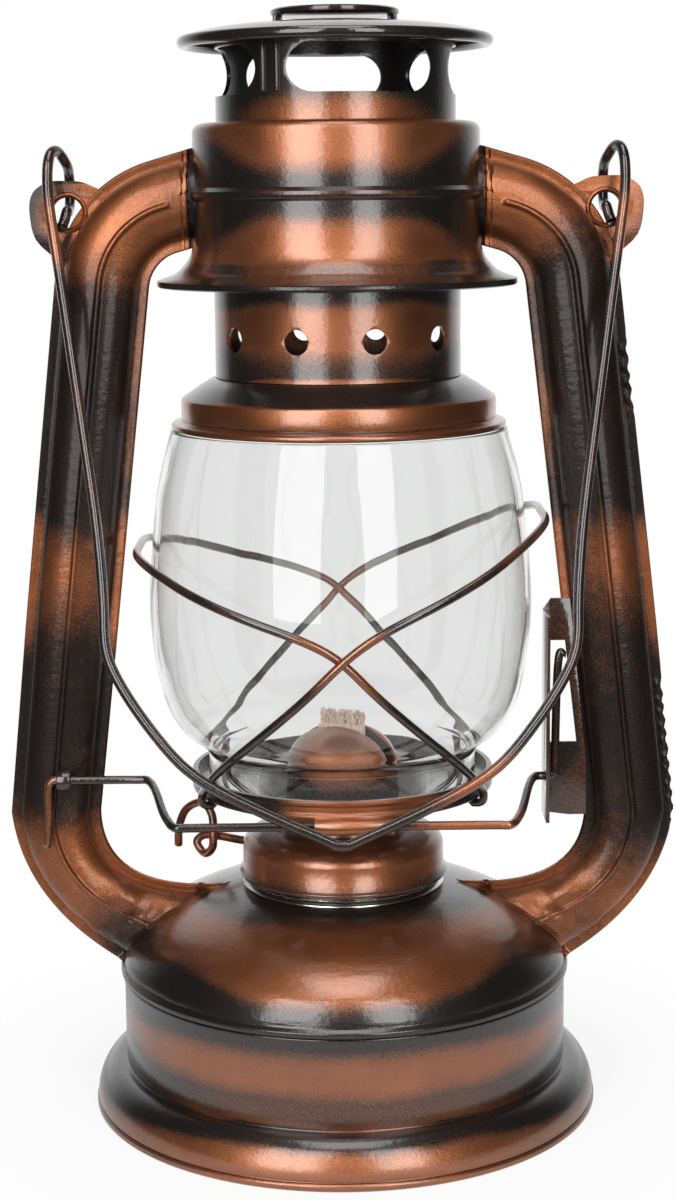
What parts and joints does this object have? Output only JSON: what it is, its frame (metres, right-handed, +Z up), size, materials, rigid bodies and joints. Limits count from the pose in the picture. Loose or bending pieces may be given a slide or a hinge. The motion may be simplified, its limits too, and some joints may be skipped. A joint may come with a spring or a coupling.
{
  "type": "kerosene lantern",
  "caption": "Wick-fed hurricane lantern: a round fount carries a burner and a clear globe between air tubes, under a sprung chimney, with a swinging bail and a wire lift crank.",
  "frame": {"origin": "centre of the base on the surface that the lantern stands on", "axes": "+Z up along the chimney, +X towards the side tube with the lift lever, -Y towards the side on which the bail hangs"},
  "size_m": [0.151, 0.115, 0.245],
  "materials": {
    "copper_paint": "metallic copper paint with black airbrushed edges",
    "black_paint": "gloss black",
    "painted_wire": "gloss black over copper",
    "dark_plate": "dark satin",
    "bare_steel": "bare, satin",
    "brass": "satin",
    "clear_glass": "clear, polished",
    "wick_cotton": "woven cotton",
    "seal_rubber": "matt"
  },
  "bodies": {
    "lantern_frame": {"tank_drum": "copper_paint", "tank_bottom": "copper_paint", "tank_dome": "copper_paint", "filler_neck": "bare_steel", "burner_collar": "bare_steel", "burner_cup": "brass", "burner_skirt": "copper_paint", "wick_tube": "brass", "flame_spreader": "copper_paint", "left_tube_front": "copper_paint", "left_tube_rear": "copper_paint", "right_tube_front": "copper_paint", "right_tube_rear": "copper_paint", "lever_bracket": "black_paint", "crank_eyelet": "black_paint", "hood": "copper_paint", "chimney_spring": "bare_steel"},
    "globe_carrier": {"globe_plate": "dark_plate", "globe": "clear_glass", "guard_hoop_left": "painted_wire", "guard_hoop_right": "painted_wire"},
    "chimney": {"crown": "copper_paint", "chimney_tube": "copper_paint", "spring_washer": "bare_steel", "vent_collar": "black_paint", "chimney_cap": "black_paint", "lift_knob": "black_paint"},
    "crank": {"lift_crank": "painted_wire"},
    "handle": {"bail": "painted_wire"},
    "winder": {"winder_wire": "painted_wire", "spur_wheel_inner": "brass", "spur_wheel_outer": "brass"},
    "wick_strip": {"wick": "wick_cotton"},
    "fuel_cap": {"filler_cap": "black_paint", "filler_gasket": "seal_rubber"}
  },
  "joints": [
    {"name": "bail_swing", "type": "hinge", "parent": "lantern_frame", "child": "handle", "pos_m": [0, 0, 0.20725], "axis": [-1, 0, 0], "range_deg": [0, 163.6]},
    {"name": "globe_lift", "type": "slide", "parent": "lantern_frame", "child": "globe_carrier", "axis": [0, 0, 1], "range_m": [0, 0.01069], "deforming": ["chimney_spring"]},
    {"name": "crank_turn", "type": "hinge", "parent": "lantern_frame", "child": "crank", "pos_m": [0, -0.0092, 0.077], "axis": [-1, 0, 0], "range_deg": [0, 25.1]},
    {"name": "chimney_lift", "type": "slide", "parent": "globe_carrier", "child": "chimney", "axis": [0, 0, 1], "range_m": [0, 0.012], "stiffness_N_per_m": 120, "springref_m": -0.012, "deforming": ["chimney_spring"]},
    {"name": "winder_turn", "type": "hinge", "parent": "lantern_frame", "child": "winder", "pos_m": [0.00176, 0.00436, 0.0541], "axis": [-0.9249, 0.3737, 0.0698], "range_deg": [-110, 75]},
    {"name": "wick_feed", "type": "slide", "parent": "lantern_frame", "child": "wick_strip", "axis": [0, 0, 1], "range_m": [-0.00613, 0.00418]},
    {"name": "filler_cap_lift", "type": "slide", "parent": "lantern_frame", "child": "fuel_cap", "axis": [0, 0, 1], "range_m": [0, 0.012]}
  ],
  "couplings": [
    {"joint": "crank_turn", "follows": "globe_lift", "rad_per_m": 40.82},
    {"joint": "winder_turn", "follows": "wick_feed", "rad_per_m": 312.5}
  ]
}
